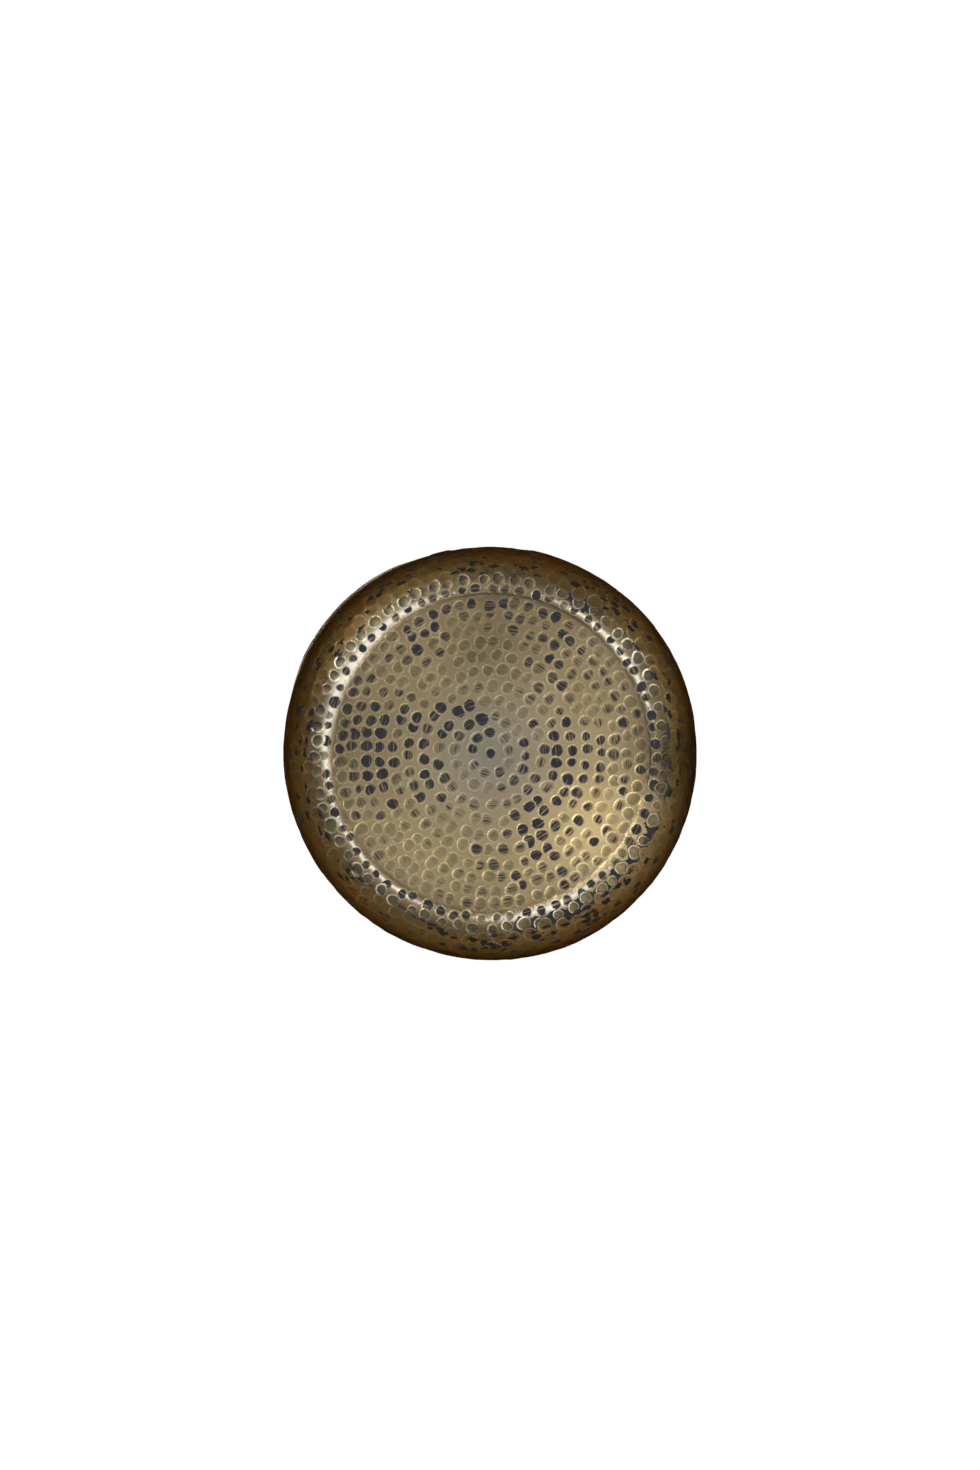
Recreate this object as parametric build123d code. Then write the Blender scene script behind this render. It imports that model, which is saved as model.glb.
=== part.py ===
"""A 16 inch hammered tam-tam: one bronze sheet, hung by its rim from a drilled cord hole each side of the top.

Millimetres. The gong hangs with +Z up and its axis along Y. Its struck face looks along -Y and its open back
along +Y. The origin is the centre of its bounding box: on the axis, midway between ridge and rim edge.
"""

from build123d import *
import math
import os

# The bronze sheet. Its outline is drawn in the XY plane, with X as the radius and Y along the gong's axis.
RIM_RADIUS = 203.0  # outside of the shoulder, the gong's largest radius
DEPTH = 54.0  # from the top of the ridge to the rim edge
WALL = 1.6
RIDGE_RADIUS = 161.5  # of the circle along the top of the ridge around the face
RIDGE_ARC = 12.0  # section radius of the ridge's inner side
RIDGE_SLOPE = 25.0  # steepest slope of the ridge's inner side, in degrees
CREASE_ARC = 7.0  # section radius of the hollow where that side meets the face
FACE_SLOPE = 1.3  # of the crowned face where it meets the crease, in degrees
SKIRT_TAPER = 1.5  # how far the skirt leans inwards towards the rim edge, in degrees
RIM_EDGE_BLEND = 0.6

# The two cord holes drilled through the skirt.
HOLE_ANGLE = 14.0  # each side of the top, about the gong's axis, in degrees
HOLE_FROM_EDGE = 9.5  # hole centre to rim edge
HOLE_RADIUS = 3.5

RIDGE_TOP = -DEPTH / 2
RIM_EDGE = DEPTH / 2
SHOULDER_RADIUS = RIM_RADIUS - RIDGE_RADIUS


def shoulder_and_skirt():
    """The outer surface in section, from the top of the ridge out to the rim edge."""
    shoulder = JernArc((RIDGE_RADIUS, RIDGE_TOP), (1, 0), SHOULDER_RADIUS, 90 + SKIRT_TAPER)
    skirt_length = (RIM_EDGE - (shoulder @ 1).Y) / (shoulder % 1).Y
    skirt = Line(shoulder @ 1, shoulder @ 1 + skirt_length * (shoulder % 1))
    return [shoulder, skirt]


def crowned_face():
    """The front surface in section, from the top of the ridge in to the gong's axis."""
    ridge_side = JernArc((RIDGE_RADIUS, RIDGE_TOP), (-1, 0), RIDGE_ARC, -RIDGE_SLOPE)
    crease = JernArc(ridge_side @ 1, ridge_side % 1, CREASE_ARC, RIDGE_SLOPE + FACE_SLOPE)
    crown_radius = (crease @ 1).X / math.sin(math.radians(FACE_SLOPE))
    crown = JernArc(crease @ 1, crease % 1, crown_radius, -FACE_SLOPE)
    return [ridge_side, crease, crown]


def gong_sheet():
    """The whole sheet, turned about the gong's axis, before the cord holes."""
    outline = Wire([curve.edge() for curve in crowned_face() + shoulder_and_skirt()])
    section = make_face(offset(outline, amount=WALL, side=Side.RIGHT, closed=True))
    section = fillet(section.vertices().sort_by(Axis.Y)[-2:], RIM_EDGE_BLEND)
    return revolve(section, Axis.Y, 360)


def cord_hole(angle):
    """The volume of one cord hole, square to the gong's axis and long enough to go right through the skirt."""
    outward = Vector(math.sin(math.radians(angle)), 0, math.cos(math.radians(angle)))
    rim = shoulder_and_skirt()[1] @ 1
    radius = rim.X + HOLE_FROM_EDGE * math.tan(math.radians(SKIRT_TAPER))
    centre = radius * outward + Vector(0, RIM_EDGE - HOLE_FROM_EDGE, 0)
    return Plane(origin=centre, x_dir=(0, 1, 0), z_dir=outward) * Cylinder(HOLE_RADIUS, 6 * WALL)


def main():
    sheet = gong_sheet()
    for angle in (-HOLE_ANGLE, HOLE_ANGLE):
        sheet -= cord_hole(angle)
    os.makedirs("parts", exist_ok=True)
    export_step(sheet, "parts/gong_disc.step")


main()
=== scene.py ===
import math
import random
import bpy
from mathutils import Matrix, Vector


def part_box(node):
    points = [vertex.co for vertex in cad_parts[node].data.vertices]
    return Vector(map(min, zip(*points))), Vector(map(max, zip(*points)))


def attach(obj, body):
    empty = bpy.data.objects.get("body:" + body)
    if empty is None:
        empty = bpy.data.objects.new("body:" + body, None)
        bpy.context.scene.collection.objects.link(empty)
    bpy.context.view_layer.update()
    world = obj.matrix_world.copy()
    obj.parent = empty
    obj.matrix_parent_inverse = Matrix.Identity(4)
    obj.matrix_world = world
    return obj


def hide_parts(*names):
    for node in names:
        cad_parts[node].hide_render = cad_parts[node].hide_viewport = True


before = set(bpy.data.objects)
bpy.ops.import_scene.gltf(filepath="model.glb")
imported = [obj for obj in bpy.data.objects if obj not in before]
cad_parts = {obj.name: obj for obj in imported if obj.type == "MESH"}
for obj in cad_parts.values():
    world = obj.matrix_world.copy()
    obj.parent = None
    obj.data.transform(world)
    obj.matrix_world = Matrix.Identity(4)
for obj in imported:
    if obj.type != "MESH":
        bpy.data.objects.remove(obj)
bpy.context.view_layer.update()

from types import SimpleNamespace

import bmesh
import bpy
import numpy as np
from mathutils import Vector, kdtree

MM = 0.001
TURN = 2 * math.pi

# The sheet's section, as in the frame. Lengths are in metres and angles in radians.
disc_low, disc_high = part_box("gong_disc")
RIM_RADIUS = (disc_high[0] - disc_low[0]) / 2
RIDGE_TOP = disc_low[1]
RIM_EDGE = disc_high[1]
WALL = 1.6 * MM
RIDGE_RADIUS = 161.5 * MM
RIDGE_ARC = 12 * MM
RIDGE_SLOPE = math.radians(25)
CREASE_ARC = 7 * MM
FACE_SLOPE = math.radians(1.3)
SKIRT_TAPER = math.radians(1.5)
RIM_EDGE_BLEND = 0.6 * MM
SHOULDER_ARC = RIM_RADIUS - RIDGE_RADIUS
HOLE_ANGLE = math.radians(14)
HOLE_FROM_EDGE = 9.5 * MM
HOLE_RADIUS = 3.5 * MM

# How finely the sheet is meshed.
FRONT_EDGE = 1.55 * MM
BACK_EDGE = 2.9 * MM
SECTION_SAMPLES = 6001

# Columns of a row of the sheet: how far along its front it is, and 1 in front or 0 behind.
ALONG = 0
IN_FRONT = 6


# ---------------------------------------------------------------- the section of the sheet

def section_knots():
    """Lengths along the front surface at which the section's curve changes, and its heading at each."""
    crown_end = RIDGE_RADIUS - RIDGE_ARC * math.sin(RIDGE_SLOPE)
    crown_end -= CREASE_ARC * (math.sin(RIDGE_SLOPE) + math.sin(FACE_SLOPE))
    quarter = math.pi / 2 + SKIRT_TAPER
    skirt_front = RIDGE_TOP + SHOULDER_ARC * (1 - math.cos(quarter))
    pieces = [
        (crown_end / math.sin(FACE_SLOPE) * FACE_SLOPE, FACE_SLOPE),
        (CREASE_ARC * (RIDGE_SLOPE + FACE_SLOPE), -RIDGE_SLOPE),
        (RIDGE_ARC * RIDGE_SLOPE, 0.0),
        (SHOULDER_ARC * quarter, quarter),
        ((RIM_EDGE - skirt_front) / math.sin(quarter), quarter),
    ]
    lengths, headings = [0.0], [0.0]
    for length, heading in pieces:
        lengths.append(lengths[-1] + length)
        headings.append(heading)
    return lengths, headings


KNOTS, HEADINGS = section_knots()
RIDGE_AT, SKIRT_AT, RIM_AT = KNOTS[3], KNOTS[4], KNOTS[5]


def fine_section():
    """The front surface's section, sampled finely enough to be read between its samples."""
    along = np.linspace(0, RIM_AT, SECTION_SAMPLES)
    heading = np.interp(along, KNOTS, HEADINGS)
    step = np.diff(along)
    middle = (heading[1:] + heading[:-1]) / 2
    radius = np.r_[0, np.cumsum(np.cos(middle) * step)]
    depth = np.r_[0, np.cumsum(np.sin(middle) * step)]
    return along, heading, radius, depth - depth.min() + RIDGE_TOP


FINE = fine_section()


def section_at(along):
    """Heading, radius and depth of the front surface at lengths along it."""
    return [np.interp(along, FINE[0], column) for column in FINE[1:]]


def stations():
    """Rows round the closed section: front centre, out to the rim, round its edge and back in behind.

    Each row is (along, radius, y, normal radius, normal y, mesh edge, 1 in front and 0 behind).
    """
    rows = []
    last = RIM_AT - RIM_EDGE_BLEND
    for along in np.linspace(0, last, round(last / FRONT_EDGE) + 1):
        heading, radius, depth = section_at(along)
        rows.append((along, radius, depth, math.sin(heading), -math.cos(heading), FRONT_EDGE, 1.0))
    heading, radius, depth = section_at(last)
    ahead = np.array([math.cos(heading), math.sin(heading)])
    inward = np.array([-math.sin(heading), math.cos(heading)])
    start = np.array([radius, depth])
    for corner, first_turn in ((RIM_EDGE_BLEND, 1), (WALL - RIM_EDGE_BLEND, 3)):
        for turn in range(first_turn, first_turn + 3):
            angle = turn * math.pi / 6
            normal = ahead * math.sin(angle) - inward * math.cos(angle)
            place = start + inward * corner + RIM_EDGE_BLEND * normal
            rows.append((RIM_AT, *place, *normal, FRONT_EDGE, 1.0))
    for along in np.linspace(last, 0, round(last / BACK_EDGE) + 1)[1:]:
        heading, radius, depth = section_at(along)
        inward = np.array([-math.sin(heading), math.cos(heading)])
        place = np.array([radius, depth]) + WALL * inward
        rows.append((along, *place, *inward, BACK_EDGE, 0.0))
    rows = np.array(rows)
    rows[-1, 1] = 0.0
    return rows


# ---------------------------------------------------------------- hammer marks

# Rings of marks on the face, as shares of the rim's radius.
FACE_RINGS = (0.0, 0.096, 0.170, 0.250, 0.322, 0.392, 0.464, 0.533, 0.597, 0.660, 0.718)
FACE_SPACING = 13.8 * MM
FACE_SCATTER = 1.1  # along the sheet, in millimetres
FACE_SIZE = 6.3  # a mark's radius, in millimetres
FACE_SIZE_SPREAD = 0.45
FACE_DEPTH = (0.075, 0.115)  # a mark's depth, as a share of its radius

# Rows of marks from the ridge outwards, in millimetres: distance along the sheet from the top of the ridge,
# spacing, radius and scatter along the sheet. Last, how clear their edges are.
OUTER_ROWS = (
    (-1.2, 14.2, 5.5, 0.9, 1.0),
    (8.5, 16.4, 5.7, 1.0, 1.0),
    (19.5, 15.5, 6.4, 2.0, 0.30),
    (31.0, 15.0, 6.8, 2.5, 0.12),
    (43.0, 16.0, 7.0, 2.5, 0.0),
    (55.0, 16.0, 7.0, 2.5, 0.0),
    (68.0, 16.0, 6.5, 2.0, 0.0),
)
OUTER_DEPTH = (0.09, 0.13)
DEEP_ROWS = 2  # the marks in the rows beyond these are shallower
SHALLOW = 0.55
OUTER_DARK = 0.84
OUTER_DARK_SPREAD = 0.24

# Areas of the front, each as clock angle in degrees, distance from the centre as a share of the rim's radius,
# reach as the same share, and strength. First, where the lathe left the marks dark, or cut them away.
DARK_AREAS = (
    (0, 0.73, 0.12, 0.70),
    (-22, 0.73, 0.10, 0.55),
    (-36, 0.66, 0.12, 0.45),
    (24, 0.73, 0.12, 0.60),
    (0, 0.03, 0.08, 0.40),
    (-12, 0.18, 0.12, 0.35),
    (-75, 0.66, 0.17, 0.45),
    (-100, 0.62, 0.12, 0.40),
    (-40, 0.26, 0.16, 0.40),
    (-62, 0.38, 0.13, 0.35),
    (-97, 0.42, 0.20, 0.38),
    (88, 0.40, 0.16, 0.42),
    (40, 0.52, 0.14, 0.40),
    (100, 0.32, 0.16, 0.35),
    (135, 0.38, 0.14, 0.50),
    (160, 0.38, 0.12, 0.45),
    (148, 0.54, 0.12, 0.42),
    (175, 0.58, 0.14, 0.20),
    (120, 0.60, 0.14, 0.20),
    (-125, 0.36, 0.16, 0.20),
    (-5, 0.50, 0.17, -0.45),
    (-35, 0.46, 0.10, -0.25),
    (-145, 0.62, 0.20, -0.40),
    (-170, 0.26, 0.12, -0.30),
    (80, 0.62, 0.13, -0.15),
    (115, 0.70, 0.10, -0.35),
    (20, 0.26, 0.12, -0.30),
)
DARK_BASE = 0.44
DARK_SPREAD = 0.19
# Where the lathe has all but cut the marks away.
LATHED_AREAS = ((2, 0.66, 0.09, 0.75), (-12, 0.60, 0.07, 0.4), (18, 0.62, 0.07, 0.5), (62, 0.62, 0.08, 0.4))

# Where the metal is golden, partly its own tone and partly a painted warm glow of reflected light, and where
# it is painted lighter or darker than the rest as light and shade.
GOLD_GLOW_AREAS = ((125, 0.62, 0.22, 0.80), (105, 0.70, 0.14, 0.35), (160, 0.55, 0.20, 0.20))
LIGHT_AREAS = (
    (130, 0.60, 0.26, 0.30),
    (-140, 0.66, 0.22, 0.16),
    (90, 0.60, 0.22, 0.16),
    (0, 0.60, 0.30, -0.32),
    (-85, 0.60, 0.24, -0.14),
    (-45, 0.58, 0.20, -0.10),
    (48, 0.88, 0.20, 0.22),
    (92, 0.86, 0.24, -0.52),
    (-75, 0.87, 0.26, -0.32),
)
# Where the ridge is burnished and painted with a highlight, where that is broad, where painted shade lies in
# the crease inside it, and where dark scale fills the gaps outside it.
CREST_HIGHLIGHT_AREAS = (
    (-78, 0.79, 0.38, 0.85),
    (-38, 0.79, 0.32, 0.75),
    (50, 0.79, 0.30, 1.5),
    (-135, 0.79, 0.30, 0.95),
    (158, 0.79, 0.34, 0.85),
)
BROAD_HIGHLIGHT_AREAS = ((-65, 0.79, 0.45, 1.0), (-35, 0.79, 0.25, 0.3), (160, 0.79, 0.28, 0.65), (52, 0.79, 0.2, 0.35))
CREASE_SHADE_AREAS = ((15, 0.77, 0.34, 0.9), (92, 0.77, 0.22, 0.6), (135, 0.77, 0.16, 0.3))
SCALE_AREAS = (
    (125, 0.83, 0.22, 0.9),
    (155, 0.84, 0.24, 1.0),
    (35, 0.84, 0.20, 0.6),
    (95, 0.84, 0.18, 0.5),
    (-20, 0.84, 0.16, 0.3),
)


def soft_areas(areas, x, z):
    """The sum of soft round areas at one place or at many, given in shares of the rim's radius."""
    total = 0.0 * x
    for degrees, out, reach, strength in areas:
        angle = math.radians(degrees)
        gap = np.hypot(x - out * math.sin(angle), z - out * math.cos(angle))
        total = total + strength * np.exp(-((gap / reach) ** 2))
    return total


def place_on(along, clock, behind=0.0):
    """Place, outward normal, and the directions round and along the sheet, at one point of its front."""
    heading, radius, depth = section_at(along)
    lean = math.sin(heading)
    outward = Vector((lean * math.sin(clock), -math.cos(heading), lean * math.cos(clock)))
    centre = Vector((radius * math.sin(clock), depth, radius * math.cos(clock)))
    around = Vector((math.cos(clock), 0, -math.sin(clock)))
    return centre - behind * outward, outward, around, outward.cross(around)


def hammer_mark(along, clock, size, depth, dark, edge, outer=False):
    """One mark: its place, radius and depth, how dark and clear-edged it is, and if it is off the face."""
    return {
        "along": along,
        "clock": clock,
        "size": size,
        "depth": depth,
        "dark": dark,
        "edge": edge,
        "zone": float(outer),
    }


def hammer_marks():
    """Every mark on the front, in rings on the face and rows outside it, each placed a little unevenly."""
    draw = random.Random(16)
    marks = []
    for ring in FACE_RINGS:
        radius = ring * RIM_RADIUS
        count = max(1, round(TURN * radius / FACE_SPACING))
        phase = draw.random()
        for k in range(count):
            clock = TURN * (k + phase + draw.uniform(-0.17, 0.17)) / count
            along = max(0.0, radius + draw.gauss(0, FACE_SCATTER) * MM * (ring > 0))
            x, z = along / RIM_RADIUS * math.sin(clock), along / RIM_RADIUS * math.cos(clock)
            dark = DARK_BASE + soft_areas(DARK_AREAS, x, z) + draw.gauss(0, DARK_SPREAD)
            size = draw.gauss(FACE_SIZE, FACE_SIZE_SPREAD) * MM
            depth = size * draw.uniform(*FACE_DEPTH)
            edge = draw.uniform(0.5, 1.2) * (1 - soft_areas(LATHED_AREAS, x, z))
            marks.append(hammer_mark(along, clock, size, depth, dark, edge))
    for row, (offset, spacing, size_in_row, scatter, edge) in enumerate(OUTER_ROWS):
        middle = RIDGE_AT + offset * MM
        count = round(TURN * section_at(middle)[1] / (spacing * MM))
        for k in range(count):
            clock = TURN * (k + 0.5 * (row % 2) + draw.uniform(-0.2, 0.2)) / count
            along = middle + draw.gauss(0, scatter) * MM
            size = draw.gauss(size_in_row, 0.09 * size_in_row) * MM
            depth = size * draw.uniform(*OUTER_DEPTH) * (1.0 if row < DEEP_ROWS else SHALLOW)
            dark = draw.gauss(OUTER_DARK, OUTER_DARK_SPREAD)
            marks.append(hammer_mark(along, clock, size, depth, dark, edge * draw.uniform(0.7, 1.2), row > 0))
    return [mark for mark in marks if not near_hole(mark)]


def near_hole(mark):
    """True for a mark that would fall on a cord hole."""
    hole = place_on(RIM_AT - HOLE_FROM_EDGE, HOLE_ANGLE)[0]
    mirrored = place_on(mark["along"], abs(math.remainder(mark["clock"], TURN)))[0]
    return (mirrored - hole).length < mark["size"] + HOLE_RADIUS


# ---------------------------------------------------------------- the mesh

def sheet_mesh():
    """The smooth sheet as arrays: points, outward normals, station rows, clock angles and triangles."""
    rows = stations()
    points, normals, row_of, clocks, firsts, counts = [], [], [], [], [], []
    total = 0
    for number, (_along, radius, y, normal_r, normal_y, edge, _front) in enumerate(rows):
        count = 1 if radius < edge / 3 else max(6, round(TURN * radius / edge))
        clock = TURN * (np.arange(count) + 0.5 * (number % 2)) / count
        sin, cos = np.sin(clock), np.cos(clock)
        points.append(np.c_[radius * sin, np.full(count, y), radius * cos])
        normals.append(np.c_[normal_r * sin, np.full(count, normal_y), normal_r * cos])
        row_of.append(np.full(count, number))
        clocks.append(clock)
        firsts.append(total)
        counts.append(count)
        total += count
    triangles = [
        zipped(firsts[i], counts[i], i % 2, firsts[i + 1], counts[i + 1], (i + 1) % 2)
        for i in range(len(rows) - 1)
    ]
    return (
        np.concatenate(points),
        np.concatenate(normals),
        rows[np.concatenate(row_of)],
        np.concatenate(clocks),
        np.concatenate(triangles),
    )


def zipped(first_a, count_a, odd_a, first_b, count_b, odd_b):
    """Triangles between two neighbouring rings, whose odd ones are turned by half a step."""
    middle_a = (np.arange(count_a) + 0.5 + 0.5 * odd_a) / count_a
    middle_b = (np.arange(count_b) + 0.5 + 0.5 * odd_b) / count_b
    order = np.argsort(np.r_[middle_a, middle_b], kind="stable")
    on_a = order < count_a
    a = np.cumsum(on_a) - on_a
    b = np.cumsum(~on_a) - ~on_a.astype(bool)
    here_a, here_b = first_a + a % count_a, first_b + b % count_b
    next_a, next_b = first_a + (a + 1) % count_a, first_b + (b + 1) % count_b
    triangles = np.c_[here_a, np.where(on_a, next_a, next_b), here_b]
    return triangles[(triangles[:, 0] != triangles[:, 1]) & (triangles[:, 1] != triangles[:, 2])]


# ---------------------------------------------------------------- what hammering does to the sheet

FLARE_CLOCK = math.radians(-46)  # where the rim edge stands out past the shoulder
FLARE_REACH = math.radians(25)
FLARE_FROM = SKIRT_AT - 4 * MM
FLARE = 4.2 * MM
FLARE_SIDES = 4  # the power that gives the flare a flat middle and steep ends
FLARE_CURVE = 1.6  # the power that makes most of the flare come near the edge
# Where the shoulder itself bulges: clock angle and reach in degrees, and height in millimetres.
BULGES = ((-55, 22, 0.2), (148, 30, 1.5), (55, 18, 0.6), (0, 25, -0.9), (-115, 45, -0.8))
WOBBLE = 0.3 * MM
WARP = 0.5 * MM
RIDGE_WAVE = 0.35 * MM  # how unevenly the ridge rises from the crease
# Waves round the gong: how many and their phase, and for those in the outline their share of WOBBLE between.
RIDGE_WAVES = ((11, 0.4), (17, 2.2), (29, 1.1), (43, 3.0))
RIPPLES = ((7, 0.45, 0.3), (13, 0.35, 4.0), (23, 0.3, 1.0), (41, 0.3, 2.0))


def bump_round(clocks, centre, reach, power=2):
    """1 at one clock angle, falling away softly on both sides. A higher power has a flatter middle."""
    return np.exp(-(((np.remainder(clocks - centre + math.pi, TURN) - math.pi) / reach) ** power))


def smooth(low, high, value):
    """0 below low, 1 above high and a soft step between."""
    share = np.clip((value - low) / (high - low), 0, 1)
    return share * share * (3 - 2 * share)


def away_from_holes(points):
    """0 at the cord holes and 1 clear of them, so that the holes stay where the frame has them."""
    nearest = np.full(len(points), 1.0)
    for side in (-1, 1):
        hole = place_on(RIM_AT - HOLE_FROM_EDGE, side * HOLE_ANGLE)[0]
        nearest = np.minimum(nearest, np.linalg.norm(points - np.array(hole), axis=1))
    return smooth(8 * MM, 13 * MM, nearest)


def slow_warp(points, rows, clocks):
    """The sheet's slow unevenness: a warped face, a wavy outline, and a rim edge that flares at one place."""
    x, z = points[:, 0] / RIM_RADIUS, points[:, 2] / RIM_RADIUS
    along = rows[:, ALONG]
    warp = np.sin(3.1 * x + 1.3 * z + 0.6) + 0.7 * np.sin(4.3 * z - 2.2 * x + 2.1)
    warp += 0.4 * np.sin(7.1 * x + 5.2 * z)
    warp *= WARP / 2 * (1 - smooth(RIDGE_AT - 25 * MM, RIDGE_AT - 4 * MM, along))
    inside_ridge = np.exp(-(((along - RIDGE_AT + 7 * MM) / (6 * MM)) ** 2))
    for count, phase in RIDGE_WAVES:
        warp += RIDGE_WAVE / 2 * np.sin(count * clocks + phase) * inside_ridge
    wave = WOBBLE * sum(size * np.sin(count * clocks + phase) for count, size, phase in RIPPLES)
    for degrees, reach, height in BULGES:
        wave += height * MM * bump_round(clocks, math.radians(degrees), math.radians(reach))
    wave *= smooth(RIDGE_AT + 10 * MM, RIDGE_AT + 45 * MM, along)
    out_to_edge = np.clip((along - FLARE_FROM) / (RIM_AT - FLARE_FROM), 0, 1)
    flare = FLARE * bump_round(clocks, FLARE_CLOCK, FLARE_REACH, FLARE_SIDES) * out_to_edge**FLARE_CURVE
    out = (wave + flare) * away_from_holes(points)
    return np.c_[out * np.sin(clocks), warp, out * np.cos(clocks)]


# A mark's raised lip in front: its distance from the centre and its width in shares of the mark's radius, its
# height in shares of the mark's depth, and how much of it is left inside another mark.
LIP_AT = 1.08
LIP_WIDTH = 0.13
LIP_HEIGHT = 0.22
LIP_LEFT = 0.45
# The low bump behind a mark: its height in shares of the mark's depth, and how steeply it falls away.
BACK_BUMP = 0.6
BACK_FALL = 1.6
MARK_REACH = 1.18  # how far out a later mark covers an earlier one, in shares of its radius
FAR_OFF = 9.0  # further from a mark's centre than any mark is looked for
NO_MARK = 3.0  # the place that is stored where no mark is near
MARK_TURN = 2.399  # from one mark's uneven outline to the next one's, in radians


def tree_of(points, chosen):
    """A search tree over the chosen points, by their own numbers."""
    tree = kdtree.KDTree(len(chosen))
    for number in chosen:
        tree.insert(points[number], number)
    tree.balance()
    return tree


def places_in(mark, points, behind=0.0):
    """Places in a mark in shares of its size, along the object's own X and Z where it is on the face."""
    centre, _outward, around, ahead = place_on(mark["along"], mark["clock"], behind)
    offset = points - np.array(centre)
    across, onward = offset @ np.array(around), offset @ np.array(ahead)
    angle = np.arctan2(onward, across)
    shape = 1 + 0.07 * np.sin(2 * angle + mark["turn"]) + 0.04 * np.sin(3 * angle + 2 * mark["turn"])
    sin, cos = math.sin(mark["clock"]), math.cos(mark["clock"])
    scale = mark["size"] * shape
    return np.stack(((across * cos + onward * sin) / scale, (onward * cos - across * sin) / scale), axis=-1)


def near_mark(tree, points, mark, reach, behind=0.0):
    """Numbers of the points within reach of a mark, and their distances from it in shares of its size."""
    centre = place_on(mark["along"], mark["clock"], behind)[0]
    found = np.array([item[1] for item in tree.find_range(centre, reach * mark["size"])], int)
    return found, np.linalg.norm(places_in(mark, points[found], behind), axis=-1)


def pressed(points, rows, marks):
    """How far the marks move each point outwards: bowls with raised lips in front, and low bumps behind."""
    height = np.zeros(len(points))
    front = np.flatnonzero(rows[:, IN_FRONT] > 0.5)
    back = np.flatnonzero(rows[:, IN_FRONT] < 0.5)
    tree, lip = tree_of(points, front), np.zeros(len(points))
    for mark in marks:
        found, q = near_mark(tree, points, mark, 1.5)
        height[found] = np.minimum(height[found], -mark["depth"] * np.clip(1 - q * q, 0, None))
        raised = LIP_HEIGHT * mark["depth"] * np.exp(-(((q - LIP_AT) / LIP_WIDTH) ** 2))
        lip[found] = np.maximum(lip[found], raised)
    height += lip * np.where(height < 0, LIP_LEFT, 1)
    tree = tree_of(points, back)
    for mark in marks:
        found, q = near_mark(tree, points, mark, 1.8, WALL)
        bump = BACK_BUMP * mark["depth"] * np.exp(-BACK_FALL * q**2)
        height[found] = np.maximum(height[found], bump)
    return height * away_from_holes(points)


def mark_pattern(points, triangles, rows, marks):
    """For each triangle, its corners' places in its mark, and the mark's darkness, zone and edge.

    A triangle takes the mark nearest to it, and then the last mark struck of those that cover it.
    """
    middle = points[triangles].mean(1)
    place = np.full((len(triangles), 3, 2), NO_MARK)
    facts = np.zeros((len(triangles), 3))
    nearest = np.full(len(triangles), FAR_OFF)
    in_front = rows[triangles[:, 0], IN_FRONT] > 0.5
    for behind, chosen in ((0.0, in_front), (WALL, ~in_front)):
        tree = tree_of(middle, np.flatnonzero(chosen))
        for reach, by_strike in ((2.6, False), (1.3, True)):
            for mark in marks:
                found, q = near_mark(tree, middle, mark, reach, behind)
                won = q < (MARK_REACH if by_strike else nearest[found])
                found = found[won]
                nearest[found] = q[won]
                facts[found] = (mark["dark"], mark["zone"], mark["edge"])
                place[found] = places_in(mark, points[triangles[found]], behind)
    return place, facts


def add_corner_attribute(mesh, name, kind, values):
    """Stores one value for each corner of each triangle."""
    layer = mesh.attributes.new(name, kind, "CORNER")
    field = "value" if kind == "FLOAT" else "vector"
    layer.data.foreach_set(field, np.ascontiguousarray(values, np.float32).ravel())


def bronze_sheet(materials):
    """The whole hammered sheet as one closed mesh, before its cord holes."""
    marks = hammer_marks()
    for number, mark in enumerate(marks):
        mark["turn"] = (number * MARK_TURN) % TURN
    points, normals, rows, clocks, triangles = sheet_mesh()
    place, facts = mark_pattern(points, triangles, rows, marks)
    height = pressed(points, rows, marks)
    final = points + normals * height[:, None] + slow_warp(points, rows, clocks)
    mesh = bpy.data.meshes.new("hammered_bronze")
    mesh.from_pydata(final.tolist(), [], triangles.tolist())
    mesh.update()
    add_corner_attribute(mesh, "mark_place", "FLOAT_VECTOR", np.dstack((place, np.zeros(place.shape[:2]))))
    spread = np.repeat(facts[:, None, :], 3, axis=1)
    add_corner_attribute(mesh, "mark_facts", "FLOAT_VECTOR", spread)
    add_corner_attribute(mesh, "along", "FLOAT", rows[triangles, ALONG] / RIM_AT)
    x, z = points[:, 0] / RIM_RADIUS, points[:, 2] / RIM_RADIUS
    for name, groups in (
        ("tone", (GOLD_GLOW_AREAS, LIGHT_AREAS, SCALE_AREAS)),
        ("crest", (CREST_HIGHLIGHT_AREAS, BROAD_HIGHLIGHT_AREAS, CREASE_SHADE_AREAS)),
    ):
        strengths = np.stack([soft_areas(areas, x, z) for areas in groups], axis=-1)
        add_corner_attribute(mesh, name, "FLOAT_VECTOR", strengths[triangles])
    mesh.polygons.foreach_set("use_smooth", np.ones(len(triangles), bool))
    behind = (rows[triangles, IN_FRONT] < 0.5).any(axis=1)
    mesh.polygons.foreach_set("material_index", behind.astype(np.int32))
    for material in materials:
        mesh.materials.append(material)
    piece = bpy.data.objects.new("hammered_bronze", mesh)
    bpy.context.scene.collection.objects.link(piece)
    return piece


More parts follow.
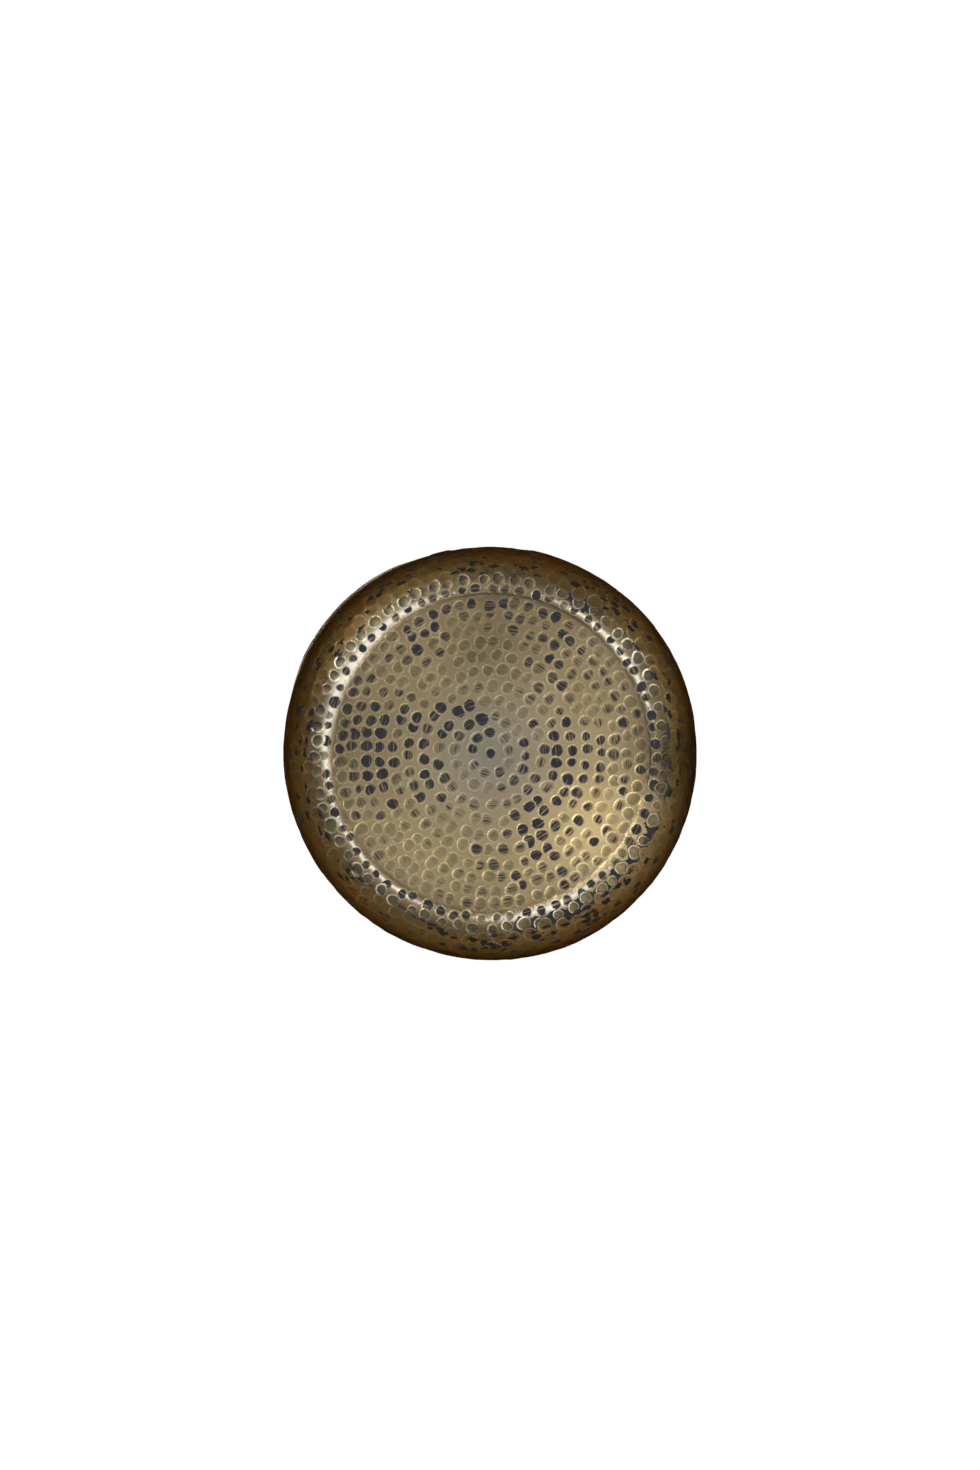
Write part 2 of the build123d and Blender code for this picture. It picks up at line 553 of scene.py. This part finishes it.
def cut_cord_holes(piece):
    """Cuts the two cord holes through the skirt, as in the frame."""
    cutters = bpy.data.meshes.new("cord_hole_cutters")
    work = bmesh.new()
    for side in (-1, 1):
        centre = place_on(RIM_AT - HOLE_FROM_EDGE, side * HOLE_ANGLE)[0]
        flat_outward = Vector((math.sin(side * HOLE_ANGLE), 0, math.cos(HOLE_ANGLE)))
        made = bmesh.ops.create_cone(
            work, cap_ends=True, segments=64, radius1=HOLE_RADIUS, radius2=HOLE_RADIUS, depth=8 * WALL
        )
        turn = flat_outward.to_track_quat("Z", "Y").to_matrix().to_4x4()
        bmesh.ops.transform(work, matrix=turn, verts=made["verts"])
        bmesh.ops.translate(work, vec=centre, verts=made["verts"])
    work.to_mesh(cutters)
    work.free()
    cutter = bpy.data.objects.new("cord_hole_cutters", cutters)
    bpy.context.scene.collection.objects.link(cutter)
    cut = piece.modifiers.new("cord_holes", "BOOLEAN")
    cut.operation = "DIFFERENCE"
    cut.solver = "EXACT"
    cut.object = cutter
    bpy.context.view_layer.update()
    done = piece.evaluated_get(bpy.context.evaluated_depsgraph_get())
    result = bpy.data.meshes.new_from_object(done)
    piece.modifiers.clear()
    piece.data = result
    bpy.data.objects.remove(cutter)


# ---------------------------------------------------------------- materials

class Graph:
    """A material's node graph, with short calls for the nodes used here."""

    def __init__(self, name):
        self.material = bpy.data.materials.new(name)
        self.material.use_nodes = True
        self.tree = self.material.node_tree
        self.shader = self.tree.nodes["Principled BSDF"]

    def node(self, kind, inputs=(), **settings):
        made = self.tree.nodes.new(kind)
        for key, value in settings.items():
            setattr(made, key, value)
        for key, value in dict(inputs).items():
            self.feed(made.inputs[key], value)
        return made

    def feed(self, socket, value):
        if isinstance(value, bpy.types.NodeSocket):
            self.tree.links.new(value, socket)
        else:
            socket.default_value = value

    def math(self, operation, a, b=0.0, clamp=False):
        return self.node("ShaderNodeMath", {0: a, 1: b}, operation=operation, use_clamp=clamp).outputs[0]

    def total(self, *terms):
        value = terms[0]
        for term in terms[1:]:
            value = self.math("ADD", value, term)
        return value

    def times(self, *factors):
        value = factors[0]
        for factor in factors[1:]:
            value = self.math("MULTIPLY", value, factor)
        return value

    def centred(self, value, size):
        """A noise's difference from its middle value, scaled."""
        return self.times(self.math("SUBTRACT", value, 0.5), size)

    def inverse(self, value):
        return self.math("SUBTRACT", 1.0, value)

    def bell(self, value, centre, width):
        """1 where the value is at the centre, falling away softly on both sides."""
        off = self.math("DIVIDE", self.math("SUBTRACT", value, centre), width)
        return self.math("EXPONENT", self.times(off, off, -1.0))

    def soft_step(self, value, low, high):
        settings = {"Value": value, "From Min": low, "From Max": high, "To Min": 0.0, "To Max": 1.0}
        return self.node("ShaderNodeMapRange", settings, interpolation_type="SMOOTHSTEP").outputs["Result"]

    def noise(self, vector, scale, detail=3.0, roughness=0.55):
        settings = {"Vector": vector, "Scale": scale, "Detail": detail, "Roughness": roughness}
        return self.node("ShaderNodeTexNoise", settings).outputs["Fac"]

    def blend(self, share, a, b, kind="Float"):
        """A mix of two numbers, or of two colours with the kind Color."""
        made = self.node("ShaderNodeMix", data_type="FLOAT" if kind == "Float" else "RGBA")
        sockets = {socket.identifier: socket for socket in made.inputs}
        self.feed(sockets["Factor_Float"], share)
        self.feed(sockets["A_" + kind], a)
        self.feed(sockets["B_" + kind], b)
        return {socket.identifier: socket for socket in made.outputs}["Result_" + kind]

    def mix(self, share, a, b):
        return self.blend(share, a, b, "Color")

    def ramp(self, value, stops):
        made = self.node("ShaderNodeValToRGB", {"Fac": value})
        fill_ramp(made.color_ramp, stops)
        return made.outputs["Color"]

    def place(self):
        """The object's own coordinates."""
        return self.node("ShaderNodeTexCoord").outputs["Object"]

    def flat_place(self, place):
        """A place with no depth, and its distance from the gong's axis."""
        parts = self.node("ShaderNodeSeparateXYZ", {0: place}).outputs
        flat = self.node("ShaderNodeCombineXYZ", {"X": parts["X"], "Y": parts["Z"]}).outputs[0]
        radius = self.node("ShaderNodeVectorMath", {0: flat}, operation="LENGTH").outputs["Value"]
        return flat, radius

    def parts_of(self, name):
        """The three numbers of a vector stored on the mesh."""
        return self.node("ShaderNodeSeparateXYZ", {0: self.attribute(name).outputs["Vector"]}).outputs

    def from_mark(self, mark):
        """The distance from a mark's centre in shares of its size, of a place in the mark."""
        x, y = mark["X"], mark["Y"]
        return self.math("SQRT", self.total(self.times(x, x), self.times(y, y)))

    def lathed_place(self, flat, outward, round_scale, across_scale):
        """A place for textures that are long round the gong and short across it."""
        spread = self.node("ShaderNodeVectorMath", {0: flat, "Scale": round_scale}, operation="SCALE")
        parts = self.node("ShaderNodeSeparateXYZ", {0: spread.outputs[0]}).outputs
        place = {"X": parts["X"], "Y": parts["Y"], "Z": self.times(outward, across_scale)}
        return self.node("ShaderNodeCombineXYZ", place).outputs[0]

    def lathed_noise(self, flat, radius, round_scale, across_scale, detail):
        """Noise that is long round the gong and short across it, for the marks that a lathe leaves."""
        return self.noise(self.lathed_place(flat, radius, round_scale, across_scale), 1.0, detail, 0.6)

    def scattered(self, place, chance):
        """1 inside ragged flecks, one to a cell at most, and more of them where the chance is higher."""
        ragged = self.node("ShaderNodeTexNoise", {"Vector": place, "Scale": 2.2, "Detail": 3.0})
        push = {0: ragged.outputs["Color"], "Scale": 1.1}
        offset = self.node("ShaderNodeVectorMath", push, operation="SCALE").outputs[0]
        moved = self.node("ShaderNodeVectorMath", {0: place, 1: offset}, operation="ADD").outputs[0]
        cells = self.node("ShaderNodeTexVoronoi", {"Vector": moved, "Scale": 1.0}).outputs
        lot = self.node("ShaderNodeSeparateXYZ", {0: cells["Color"]}).outputs["X"]
        size = self.total(self.times(self.soft_step(self.total(lot, chance), 0.5, 1.0), 0.58), -0.08)
        return self.soft_step(self.math("SUBTRACT", size, cells["Distance"]), -0.05, 0.02)

    def bump(self, height, distance):
        """Turns the shading by a height given as a share of a distance in metres."""
        self.set("Normal", self.node("ShaderNodeBump", {"Height": height, "Distance": distance}).outputs[0])

    def attribute(self, name):
        return self.node("ShaderNodeAttribute", attribute_name=name)

    def set(self, name, value):
        self.feed(self.shader.inputs[name], value)


def fill_ramp(ramp, stops):
    """Gives a new colour ramp its stops, each a position and a colour."""
    ramp.elements.remove(ramp.elements[1])
    ramp.elements[0].position, ramp.elements[0].color = stops[0][0], (*stops[0][1], 1)
    for position, colour in stops[1:]:
        ramp.elements.new(position).color = (*colour, 1)


def linear(red, green, blue):
    """A colour given as 0 to 255 on a screen, in the renderer's linear values."""
    shares = (red / 255, green / 255, blue / 255)
    return tuple(c / 12.92 if c <= 0.04045 else ((c + 0.055) / 1.055) ** 2.4 for c in shares)


# The metal's tone from the centre of the face out to the rim, by share of the rim's radius. It holds painted
# light as well: darker just inside the crease as painted shade, lighter on the ridge as a painted highlight,
# and darker out to the rim edge, partly the oxidised bronze's brown and partly painted shade where the
# shoulder turns away.
METAL_TONES_LIGHT_AND_SHADE = (
    (0.00, (124, 118, 103)),
    (0.12, (133, 125, 107)),
    (0.30, (144, 131, 104)),
    (0.52, (143, 128, 97)),
    (0.70, (138, 123, 94)),
    (0.755, (122, 108, 82)),
    (0.80, (132, 118, 90)),
    (0.845, (98, 84, 58)),
    (0.90, (113, 89, 51)),
    (0.96, (101, 75, 38)),
    (1.00, (66, 49, 24)),
)
# Golden tone of the painted warm glow, partly the metal's own.
GOLD_GLOW = (0.54, 0.41, 0.20, 1)
# Painted highlight colours for the lips of the marks on the face: grey near the centre, bright further out.
LIP_HIGHLIGHT = (0.76, 0.65, 0.41, 1)
GREY_LIP_HIGHLIGHT = (0.56, 0.53, 0.44, 1)
# Cream white of the ridge's burnish and painted highlight, also the painted highlight on the lips of the
# marks outside the ridge.
BURNISH_HIGHLIGHT = (0.98, 0.91, 0.74, 1)
CRATER = (0.145, 0.13, 0.09, 1)  # inside the marks just outside the ridge
OXIDE = (0.027, 0.028, 0.037, 1)
DARK_SCALE = (0.017, 0.014, 0.011, 1)
EDGE_TINT = (0.20, 0.155, 0.10, 1)  # how the metal tints what it reflects where it turns away
EDGE_TINT_WORN = (0.95, 0.92, 0.86, 1)
SKIRT_TONE = (104, 80, 46)
RUST = (0.16, 0.065, 0.016, 1)
WORN_EDGE = (0.54, 0.48, 0.38, 1)
BACK_SCALE = (0.045, 0.033, 0.025, 1)
BACK_SCALE_LIGHT = (0.14, 0.088, 0.044, 1)
BACK_WORN = (0.34, 0.235, 0.115, 1)

# Where things lie on the front, in shares of the rim's radius.
CREASE_LINE = 0.764
RIDGE_LINE = 0.789
OFF_RIDGE = (0.85, 0.89)  # where the ridge's colours give way to the shoulder's
# Where the skirt begins and where its worn edge does, in shares of the length along the front.
ON_SKIRT = (0.90, 0.955)
WORN_FROM = 0.972


def front_fields(g):
    """The numbers that the front's colours are made from: places, what the mesh stores, and noises."""
    f = SimpleNamespace()
    place = g.place()
    flat, radius = g.flat_place(place)
    f.share = g.math("DIVIDE", radius, RIM_RADIUS)
    f.along = g.attribute("along").outputs["Fac"]
    mark = g.parts_of("mark_place")
    f.q = g.from_mark(mark)
    # 1 on a mark's upper left side, -1 on its lower right: the side that the marks' painted highlights and
    # painted shade favour.
    lean = g.math("SUBTRACT", g.times(mark["Y"], 0.64), g.times(mark["X"], 0.77))
    f.facing = g.math("DIVIDE", lean, g.math("MAXIMUM", f.q, 0.1))
    facts = g.parts_of("mark_facts")
    f.dark, f.zone, f.edge = facts["X"], facts["Y"], facts["Z"]
    tone = g.parts_of("tone")
    f.gold, f.lift, f.scaled = tone["X"], tone["Y"], tone["Z"]
    crest = g.parts_of("crest")
    f.crest, f.broad, f.crease = crest["X"], crest["Y"], crest["Z"]
    f.grooves = g.lathed_noise(flat, radius, 45, 800.0, 2.0)
    f.streak = g.lathed_noise(flat, radius, 30, 600.0, 4.0)
    f.scale_place = g.lathed_place(flat, g.times(f.along, RIM_AT), 100.0, 175.0)
    f.ragged = g.noise(place, 420.0, 4.0, 0.6)
    f.blotch = g.noise(place, 55.0, 3.0, 0.55)
    f.cloud = g.noise(place, 14.0, 4.0, 0.6)
    return f


def oxide_in_marks(g, f):
    """Oxide left in the marks on the face, with the lathe's grooves cut through it."""
    reach = g.total(g.times(f.dark, 0.42), 0.36)
    inside = g.soft_step(g.math("SUBTRACT", reach, g.total(f.q, g.centred(f.ragged, 0.4))), -0.13, 0.13)
    density = g.total(g.times(g.soft_step(f.dark, 0.05, 1.05), 0.30), 0.32)
    return g.times(inside, g.soft_step(g.math("SUBTRACT", density, f.grooves), -0.10, 0.10))


def scale_outside(g, f):
    """Scale in flecks on the shoulder, and filling the gaps between the marks just outside the ridge."""
    gap = g.soft_step(g.total(f.q, g.centred(f.ragged, 0.5)), 0.98, 1.12)
    near_ridge = g.inverse(g.soft_step(f.share, 0.86, 0.89))
    patches = g.soft_step(g.total(f.scaled, g.centred(f.blotch, 1.6)), 0.25, 0.6)
    flecks = g.scattered(f.scale_place, g.total(g.centred(f.blotch, 1.3), g.times(f.scaled, 0.10), 0.12))
    shoulder = g.times(g.soft_step(f.share, 0.82, 0.87), g.inverse(g.soft_step(f.share, 0.965, 0.995)))
    return g.math("MAXIMUM", g.times(gap, near_ridge, patches), g.times(flecks, shoulder))


def grime_in_crease(g, f):
    """Painted shade: a broken dark line in the crease between the face and the ridge, strongest near the top.
    """
    middle = g.total(CREASE_LINE, g.centred(f.blotch, 0.012))
    line = g.bell(g.math("SUBTRACT", f.share, middle), 0.0, 0.0035)
    return g.times(line, g.soft_step(g.total(f.crease, g.centred(f.ragged, 0.6)), 0.15, 0.6), 0.85)


def lip_highlights(g, f):
    """Painted highlights on the lips round the marks, brightest on their upper left as if lit from there, and
    strongest outside the ridge.
    """
    broken = g.soft_step(g.total(f.ragged, g.centred(f.blotch, 0.8)), 0.28, 0.66)
    on_face = g.total(g.times(f.gold, 0.80), g.times(f.lift, 0.80), 0.56)
    level = g.blend(f.zone, on_face, g.total(g.times(f.crest, 0.42), g.times(f.lift, 0.6), 0.26))
    side = g.total(g.times(f.facing, 0.50), 0.78)
    shape = g.bell(f.q, 0.98, g.total(0.09, g.times(f.zone, 0.04)))
    return g.math("MINIMUM", g.times(shape, level, side, f.edge, broken), 1.0)


def ridge_burnish_and_highlight(g, f):
    """The ridge's top, burnished in places and painted there with a cream highlight, and broken where the
    marks cut into it.
    """
    middle = g.total(RIDGE_LINE, g.centred(f.blotch, 0.026))
    width = g.total(0.0075, g.times(f.broad, 0.015))
    shape = g.bell(g.math("DIVIDE", g.math("SUBTRACT", f.share, middle), width), 0.0, 1.0)
    patches = g.soft_step(g.total(f.crest, g.centred(f.ragged, 1.5)), 0.10, 0.75)
    in_mark = g.times(g.inverse(g.soft_step(f.q, 0.62, 0.92)), 0.75)
    return g.times(shape, patches, g.inverse(in_mark))


def metal_with_light_and_shade(g, f):
    """The metal's colour under the lip highlights, the ridge's burnish and highlight and the oxide, with
    painted shade in it: the marks' hollows darker, and a dark crescent on the upper left inside the marks
    just outside the ridge.
    """
    base = g.ramp(f.share, [(at, linear(*rgb)) for at, rgb in METAL_TONES_LIGHT_AND_SHADE])
    on_skirt = g.soft_step(f.along, *ON_SKIRT)
    base = g.mix(g.times(on_skirt, 0.75), base, (*linear(*SKIRT_TONE), 1))
    base = g.mix(g.math("MULTIPLY", f.gold, 0.7, clamp=True), base, GOLD_GLOW)
    inside = g.times(g.inverse(g.soft_step(f.q, 0.62, 1.0)), g.math("MINIMUM", f.edge, 1.0))
    in_crater = g.times(inside, f.zone, g.inverse(g.soft_step(f.share, 0.855, 0.875)))
    base = g.mix(g.times(in_crater, 0.6), base, CRATER)
    rusty = g.soft_step(g.total(f.cloud, g.centred(f.blotch, 0.8)), 0.47, 0.72)
    base = g.mix(g.times(g.soft_step(f.share, 0.86, 0.93), rusty, 0.55), base, RUST)
    # Painted shade: the marks' hollows darker, more so in the golden glow.
    dish_shade = g.times(inside, g.total(g.times(f.gold, -0.30), -0.25))
    # Painted shade: a dark crescent on the upper left inside the marks just outside the ridge.
    crescent_shade = g.times(in_crater, g.bell(f.q, 0.74, 0.16), g.soft_step(f.facing, 0.1, 0.9), -0.45)
    # The lift is painted light and shade: the areas painted lighter or darker.
    shade = g.total(0.83, g.times(f.cloud, 0.40), f.lift, g.centred(f.streak, 0.35), dish_shade, crescent_shade)
    return g.node("ShaderNodeVectorMath", {0: base, "Scale": shade}, operation="SCALE").outputs[0]


def bronze_front():
    """Hammered bronze: lathed bright over dark marks on the face, brown and scaled outside the ridge, with
    painted highlights on the marks' lips and the ridge and painted shade in the crease.
    """
    g = Graph("bronze_front")
    f = front_fields(g)
    oxide_and_crease_shade = g.blend(f.zone, oxide_in_marks(g, f), scale_outside(g, f))
    # The crease's painted shade joins the oxide here and takes its dark colour.
    oxide_and_crease_shade = g.math("MAXIMUM", oxide_and_crease_shade, grime_in_crease(g, f))
    # The marks' lips get painted highlights.
    lip = lip_highlights(g, f)
    crest = ridge_burnish_and_highlight(g, f)
    edge_start = g.total(WORN_FROM, g.centred(f.blotch, 0.02))
    at_edge = g.soft_step(g.math("SUBTRACT", f.along, edge_start), -0.006, 0.006)
    worn_edge = g.times(at_edge, g.soft_step(g.total(f.ragged, g.centred(f.cloud, 0.8)), 0.36, 0.56))
    lip_highlight_colour = g.mix(g.soft_step(f.share, 0.10, 0.45), GREY_LIP_HIGHLIGHT, LIP_HIGHLIGHT)
    base = g.mix(lip, metal_with_light_and_shade(g, f), g.mix(f.zone, lip_highlight_colour, BURNISH_HIGHLIGHT))
    # A painted highlight on the ridge's top, where it is also burnished.
    base = g.mix(g.times(crest, 0.97), base, BURNISH_HIGHLIGHT)
    base = g.mix(worn_edge, base, WORN_EDGE)
    oxide_and_crease_shade_colour = g.mix(g.soft_step(f.share, *OFF_RIDGE), OXIDE, DARK_SCALE)
    g.set("Base Color", g.mix(oxide_and_crease_shade, base, oxide_and_crease_shade_colour))
    g.set("Metallic", g.inverse(g.times(oxide_and_crease_shade, 0.75)))
    g.set("Specular Tint", g.mix(worn_edge, EDGE_TINT, EDGE_TINT_WORN))
    outer = g.times(g.soft_step(f.share, 0.80, 0.90), 0.14)
    polish = g.times(g.math("MAXIMUM", lip, crest), -0.12)
    g.set("Roughness", g.total(0.36, outer, g.centred(f.streak, 0.2), polish, g.times(oxide_and_crease_shade, 0.15)))
    lathed = g.total(g.times(f.grooves, 0.03), g.times(f.streak, 0.03))
    height = g.total(lathed, g.times(lip, 0.05), g.times(oxide_and_crease_shade, -0.03))
    uneven = g.times(g.bell(f.share, 0.768, 0.014), g.total(g.times(f.ragged, 0.45), g.times(f.blotch, 1.2)))
    g.bump(g.total(height, uneven, g.times(f.ragged, 0.03)), MM)
    return g.material


def bronze_back():
    """The open back: dark brown scale, worn to metal on the low bumps behind the hammer marks."""
    g = Graph("bronze_back")
    place = g.place()
    blotch = g.noise(place, 70.0, 4.0, 0.6)
    ragged = g.noise(place, 380.0, 4.0, 0.6)
    cloud = g.noise(place, 16.0, 4.0, 0.6)
    on_bump = g.inverse(g.soft_step(g.from_mark(g.parts_of("mark_place")), 0.35, 1.0))
    uneven = g.total(g.times(blotch, 0.55), g.times(ragged, 0.30))
    wear = g.total(uneven, g.times(on_bump, 0.12), g.centred(cloud, 0.5))
    worn = g.soft_step(wear, 0.44, 0.60)
    scale = g.mix(cloud, BACK_SCALE, BACK_SCALE_LIGHT)
    g.set("Base Color", g.mix(g.times(worn, 0.72), scale, BACK_WORN))
    g.set("Metallic", g.total(0.45, g.times(worn, 0.5)))
    g.set("Roughness", g.total(0.60, g.times(worn, -0.18)))
    g.bump(g.total(g.times(ragged, 0.06), g.times(blotch, 0.08), g.times(on_bump, 0.10)), MM)
    return g.material


# ---------------------------------------------------------------- the stage

# The room's brightness by how far a direction points along the gong's axis: a bright wall in front of the
# struck face, dimmer sides, and a white backdrop behind the gong.
ROOM = ((-1.0, 0.95), (-0.95, 0.86), (-0.72, 0.42), (0.84, 0.40), (0.96, 1.02))


def studio():
    """The room's soft light, as a function of direction alone."""
    world = bpy.data.worlds.new("studio")
    bpy.context.scene.world = world
    world.use_nodes = True
    tree = world.node_tree
    split = tree.nodes.new("ShaderNodeSeparateXYZ")
    tree.links.new(tree.nodes.new("ShaderNodeTexCoord").outputs["Generated"], split.inputs[0])
    place = tree.nodes.new("ShaderNodeMapRange")
    place.inputs["From Min"].default_value = -1
    tree.links.new(split.outputs["Y"], place.inputs["Value"])
    ramp = tree.nodes.new("ShaderNodeValToRGB")
    tree.links.new(place.outputs["Result"], ramp.inputs["Fac"])
    fill_ramp(ramp.color_ramp, [((at + 1) / 2, (level, level, level)) for at, level in ROOM])
    tree.links.new(ramp.outputs["Color"], tree.nodes["Background"].inputs["Color"])


def soft_light(name, place, size, radiance, colour=(1, 1, 1)):
    """A square soft box that looks at the gong."""
    light = bpy.data.lights.new(name, "AREA")
    light.shape = "SQUARE"
    light.size = size
    light.energy = radiance * math.pi * size * size
    light.color = colour
    lamp = bpy.data.objects.new(name, light)
    lamp.location = place
    lamp.rotation_mode = "QUATERNION"
    lamp.rotation_quaternion = (-Vector(place)).to_track_quat("-Z", "Y")
    bpy.context.scene.collection.objects.link(lamp)


FLOOR_RADIUS = 1.35
FLOOR_HEIGHT = -1.0
FLOOR_TONE = (0.86, 0.86, 0.86, 1)


def floor():
    """A pale round floor below the hanging gong."""
    mesh = bpy.data.meshes.new("floor")
    work = bmesh.new()
    bmesh.ops.create_circle(work, cap_ends=True, segments=96, radius=FLOOR_RADIUS)
    work.to_mesh(mesh)
    work.free()
    obj = bpy.data.objects.new("floor", mesh)
    obj.location = (0, 0, FLOOR_HEIGHT)
    bpy.context.scene.collection.objects.link(obj)
    g = Graph("floor")
    g.set("Base Color", FLOOR_TONE)
    g.set("Roughness", 0.8)
    mesh.materials.append(g.material)


CAMERA_LENS = 100.0
CAMERA_SENSOR = 36.0
GONG_SHARE = 0.28163  # the gong's height, in shares of the picture's
GONG_BELOW = 0.01224  # how far its centre is below the picture's, in the same shares
CAMERA_CLOCK = math.radians(-1.0)
CAMERA_RISE = math.radians(0.6)


def camera():
    """A long lens looking square on to the face, from very slightly to its left and above."""
    data = bpy.data.cameras.new("camera")
    data.lens = CAMERA_LENS
    data.sensor_fit = "AUTO"
    data.sensor_width = CAMERA_SENSOR
    data.shift_y = GONG_BELOW
    data.dof.use_dof = False
    distance = CAMERA_LENS / (CAMERA_SENSOR * GONG_SHARE) * 2 * RIM_RADIUS
    aim = Vector((0, RIDGE_TOP + SHOULDER_ARC, 0))
    back = Vector(
        (
            math.sin(CAMERA_CLOCK) * math.cos(CAMERA_RISE),
            -math.cos(CAMERA_CLOCK) * math.cos(CAMERA_RISE),
            math.sin(CAMERA_RISE),
        )
    )
    obj = bpy.data.objects.new("camera", data)
    obj.location = aim + back * distance
    obj.rotation_mode = "QUATERNION"
    obj.rotation_quaternion = (-back).to_track_quat("-Z", "Y")
    bpy.context.scene.collection.objects.link(obj)
    bpy.context.scene.camera = obj


# ---------------------------------------------------------------- the object on its stage

gong = bronze_sheet([bronze_front(), bronze_back()])
cut_cord_holes(gong)
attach(gong, "root")
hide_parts("gong_disc")

studio()
floor()
soft_light("key", (-1.3, -2.2, 1.3), 0.9, 10.0)
soft_light("side", (1.9, -1.6, 0.1), 0.9, 3.5)
soft_light("low", (0.9, -2.0, -0.75), 0.8, 3.0, (1.0, 0.93, 0.80))
camera()
bpy.context.scene.view_settings.view_transform = "Standard"
